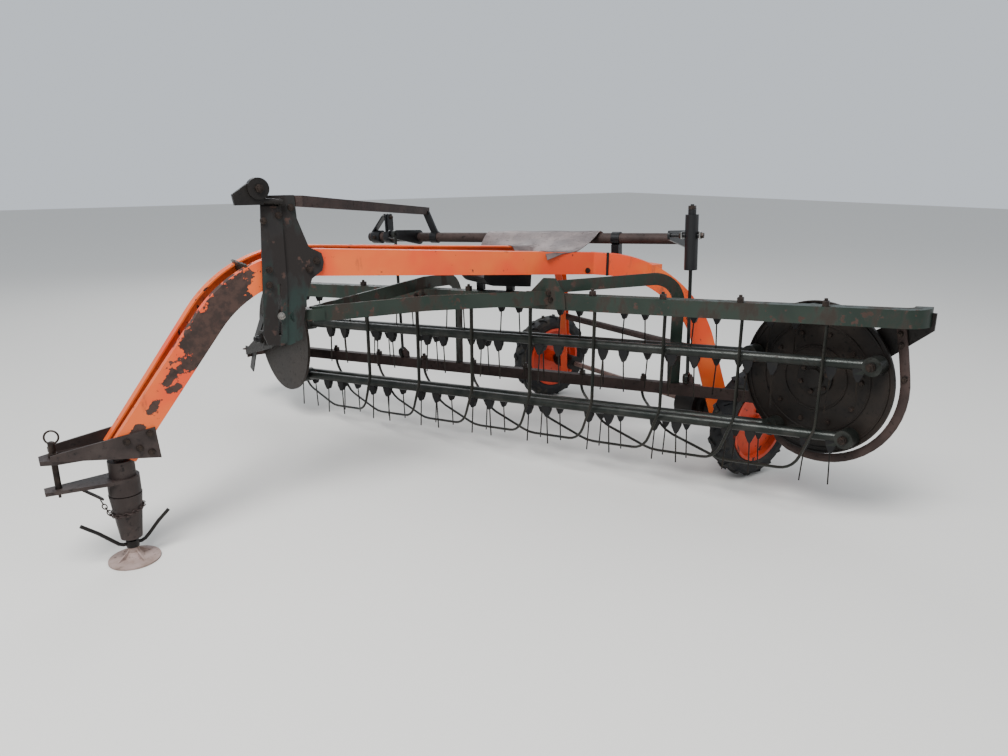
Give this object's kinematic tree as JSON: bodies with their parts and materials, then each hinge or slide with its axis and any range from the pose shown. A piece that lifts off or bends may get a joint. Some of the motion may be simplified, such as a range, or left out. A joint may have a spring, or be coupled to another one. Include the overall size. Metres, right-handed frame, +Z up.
{
  "type": "side delivery hay rake",
  "caption": "Towed parallel-bar side delivery rake: arched channel frame on two wheels, slanted reel of tooth bars between discs, stripper rods, lift rockshaft and a screw jack at the hitch.",
  "frame": {"origin": "middle of the footprint on the ground", "axes": "+X the way it is towed, +Y to its left, +Z up"},
  "size_m": [3.55, 3.7882, 1.5945],
  "materials": {
    "frame_paint": "worn, chipped",
    "green_paint": "worn with grime",
    "rusty_steel": "rusty",
    "dark_steel": "dark, oily",
    "black_paint": "satin",
    "bar_steel": "worn by hay",
    "grey_sheet": "weathered",
    "rim_paint": "worn",
    "tyre_rubber": "weathered",
    "foot_steel": "dry mud"
  },
  "bodies": {
    "frame": {"left_frame_beam": "frame_paint", "right_frame_beam": "frame_paint", "left_axle_leg": "frame_paint", "right_axle_leg": "frame_paint", "left_spindle": "dark_steel", "right_spindle": "dark_steel", "axle_shaft": "dark_steel", "gear_case": "dark_steel", "axle_cross_tube": "rusty_steel", "rear_cross_member": "green_paint", "frame_cross_plate": "green_paint", "hitch_side_plates": "dark_steel", "hitch_tongue": "dark_steel", "hitch_lower_strap": "rusty_steel", "jack_column": "rusty_steel", "post_plate": "green_paint", "post_eye": "green_paint", "stay_bar": "rusty_steel", "shield": "grey_sheet", "rockshaft_bearings": "black_paint"},
    "left_wheel": {"left_rim": "rim_paint", "left_tyre": "tyre_rubber"},
    "right_wheel": {"right_rim": "rim_paint", "right_tyre": "tyre_rubber"},
    "jack_leg": {"jack_screw": "bar_steel", "jack_foot": "foot_steel", "jack_crank": "foot_steel"},
    "rockshaft": {"rockshaft_tube": "black_paint", "rear_lift_lever": "black_paint", "front_lift_lever": "black_paint"},
    "rear_rod": {"rear_lift_rod": "bar_steel", "rear_spring_can": "black_paint"},
    "front_rod": {"front_lift_rod": "bar_steel"},
    "basket": {"front_top_beam": "green_paint", "left_arm": "green_paint", "right_arm": "green_paint", "rear_arch": "green_paint", "rear_bottom_beam": "rusty_steel", "gusset_plate": "green_paint", "pivot_bracket": "green_paint", "strippers": "rusty_steel", "end_guard": "rusty_steel", "rear_bearing_bracket": "dark_steel", "front_bearing_bracket": "dark_steel", "rod_brackets": "rusty_steel"},
    "rear_head": {"rear_head_disc": "dark_steel"},
    "front_head": {"front_head_disc": "dark_steel"},
    "bar_1": {"tooth_bar_1": "bar_steel"},
    "bar_2": {"tooth_bar_2": "bar_steel"},
    "bar_3": {"tooth_bar_3": "bar_steel"},
    "bar_4": {"tooth_bar_4": "bar_steel"},
    "bar_5": {"tooth_bar_5": "bar_steel"}
  },
  "joints": [
    {"name": "left_wheel_spin", "type": "hinge", "parent": "frame", "child": "left_wheel", "pos_m": [-1.475, 0.96493, 0.3], "axis": [0, 1, 0], "continuous": true},
    {"name": "right_wheel_spin", "type": "hinge", "parent": "frame", "child": "right_wheel", "pos_m": [-1.475, -0.81507, 0.3], "axis": [0, 1, 0], "continuous": true},
    {"name": "jack_travel", "type": "slide", "parent": "frame", "child": "jack_leg", "axis": [0, 0, 1], "range_m": [-0.15, 0.008]},
    {"name": "basket_lift", "type": "hinge", "parent": "frame", "child": "basket", "pos_m": [0.75061, 0.17941, 1.00684], "axis": [-0.4573, 0.8885, 0.0386], "range_deg": [0, 3.8]},
    {"name": "rockshaft_turn", "type": "hinge", "parent": "frame", "child": "rockshaft", "pos_m": [-0.97958, -0.141, 1.22459], "axis": [0.4573, -0.8885, -0.0386], "range_deg": [0, 18.7]},
    {"name": "rear_rod_swing", "type": "hinge", "parent": "rockshaft", "child": "rear_rod", "pos_m": [-1.10655, 0.78076, 1.30199], "axis": [0.4573, -0.8885, -0.0386], "range_deg": [-18.1, 0]},
    {"name": "front_rod_swing", "type": "hinge", "parent": "rockshaft", "child": "front_rod", "pos_m": [-0.27288, -0.83886, 1.23154], "axis": [0.4573, -0.8885, -0.0386], "range_deg": [-18.1, 0]},
    {"name": "rear_head_spin", "type": "hinge", "parent": "basket", "child": "rear_head", "pos_m": [-1.2315, 1.44093, 0.689], "axis": [0.9946, 0.1033, 0], "continuous": true},
    {"name": "front_head_spin", "type": "hinge", "parent": "basket", "child": "front_head", "pos_m": [0.236, -1.41007, 0.565], "axis": [0.9946, 0.1033, 0], "continuous": true},
    {"name": "bar_1_swing", "type": "hinge", "parent": "rear_head", "child": "bar_1", "pos_m": [-1.26084, 1.72343, 0.81073], "axis": [0.9946, 0.1033, 0], "continuous": true},
    {"name": "bar_2_swing", "type": "hinge", "parent": "rear_head", "child": "bar_2", "pos_m": [-1.25253, 1.64338, 0.4565], "axis": [0.9946, 0.1033, 0], "continuous": true},
    {"name": "bar_3_swing", "type": "hinge", "parent": "rear_head", "child": "bar_3", "pos_m": [-1.21516, 1.28356, 0.42358], "axis": [0.9946, 0.1033, 0], "continuous": true},
    {"name": "bar_4_swing", "type": "hinge", "parent": "rear_head", "child": "bar_4", "pos_m": [-1.20037, 1.14122, 0.75746], "axis": [0.9946, 0.1033, 0], "continuous": true},
    {"name": "bar_5_swing", "type": "hinge", "parent": "rear_head", "child": "bar_5", "pos_m": [-1.22861, 1.41308, 0.99673], "axis": [0.9946, 0.1033, 0], "continuous": true}
  ],
  "couplings": [
    {"joint": "rockshaft_turn", "follows": "basket_lift", "ratio": 4.9},
    {"joint": "rear_rod_swing", "follows": "basket_lift", "ratio": -4.741},
    {"joint": "front_rod_swing", "follows": "basket_lift", "ratio": -4.741},
    {"joint": "front_head_spin", "follows": "rear_head_spin", "ratio": 1},
    {"joint": "bar_1_swing", "follows": "rear_head_spin", "ratio": -1},
    {"joint": "bar_2_swing", "follows": "rear_head_spin", "ratio": -1},
    {"joint": "bar_3_swing", "follows": "rear_head_spin", "ratio": -1},
    {"joint": "bar_4_swing", "follows": "rear_head_spin", "ratio": -1},
    {"joint": "bar_5_swing", "follows": "rear_head_spin", "ratio": -1}
  ]
}
